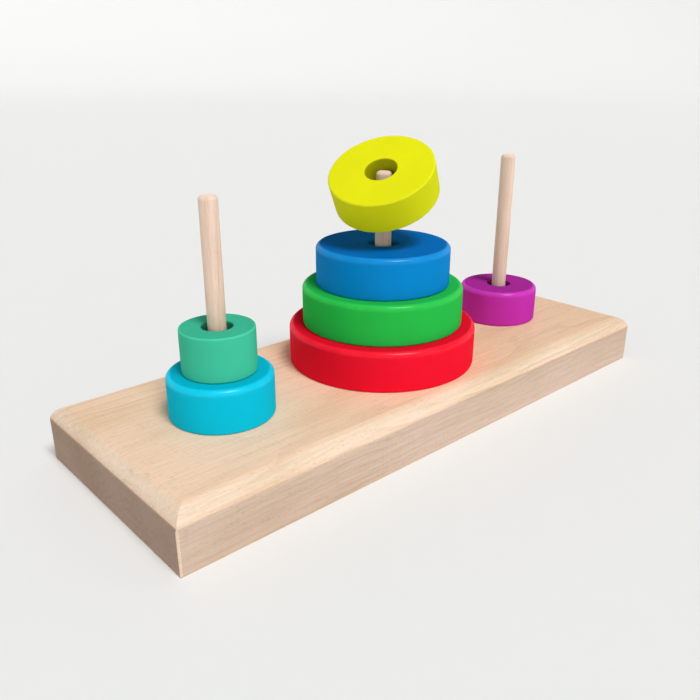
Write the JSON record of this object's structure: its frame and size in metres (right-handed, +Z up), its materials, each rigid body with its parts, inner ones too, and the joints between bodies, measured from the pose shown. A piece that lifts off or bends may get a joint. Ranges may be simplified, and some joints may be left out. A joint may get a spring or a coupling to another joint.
{
  "type": "tower of hanoi puzzle",
  "caption": "Wooden stacking puzzle: a long board with rounded upper edges and a row of dowel pegs, holding painted discs of graded width that lift off and restack.",
  "frame": {"origin": "middle of the board's underside, on the surface that the puzzle stands on", "axes": "+X along the row of pegs from the left peg to the right one, +Y from the front edge to the back, +Z up along the pegs"},
  "size_m": [0.23, 0.085, 0.1021],
  "materials": {
    "beech_board": "sanded beech under a thin clear satin lacquer",
    "beech_dowel": "plain beech dowel, grain along the rod, end grain on the rounded tip",
    "red_paint": "wood under red satin paint",
    "green_paint": "wood under green satin paint",
    "blue_paint": "wood under blue satin paint",
    "yellow_paint": "wood under yellow satin paint",
    "turquoise_paint": "wood under turquoise satin paint",
    "sea_green_paint": "wood under sea-green satin paint",
    "purple_paint": "wood under purple satin paint"
  },
  "bodies": {
    "base": {"base_board": "beech_board", "left_peg": "beech_dowel", "centre_peg": "beech_dowel", "right_peg": "beech_dowel"},
    "red": {"red_disc": "red_paint"},
    "green": {"green_disc": "green_paint"},
    "blue": {"blue_disc": "blue_paint"},
    "yellow": {"yellow_disc": "yellow_paint"},
    "turquoise": {"turquoise_disc": "turquoise_paint"},
    "sea_green": {"sea_green_disc": "sea_green_paint"},
    "purple": {"purple_disc": "purple_paint"}
  },
  "joints": [
    {"name": "red_lift", "type": "slide", "parent": "base", "child": "red", "axis": [0, 0, 1], "range_m": [0, 0.075]},
    {"name": "green_lift", "type": "slide", "parent": "red", "child": "green", "axis": [0, 0, 1], "range_m": [0, 0.06]},
    {"name": "blue_lift", "type": "slide", "parent": "green", "child": "blue", "axis": [0, 0, 1], "range_m": [0, 0.045]},
    {"name": "yellow_lift", "type": "slide", "parent": "blue", "child": "yellow", "axis": [0, 0, 1], "range_m": [0, 0.025]},
    {"name": "turquoise_lift", "type": "slide", "parent": "base", "child": "turquoise", "axis": [0, 0, 1], "range_m": [0, 0.075]},
    {"name": "sea_green_lift", "type": "slide", "parent": "turquoise", "child": "sea_green", "axis": [0, 0, 1], "range_m": [0, 0.06]},
    {"name": "purple_lift", "type": "slide", "parent": "base", "child": "purple", "axis": [0, 0, 1], "range_m": [0, 0.075]}
  ]
}
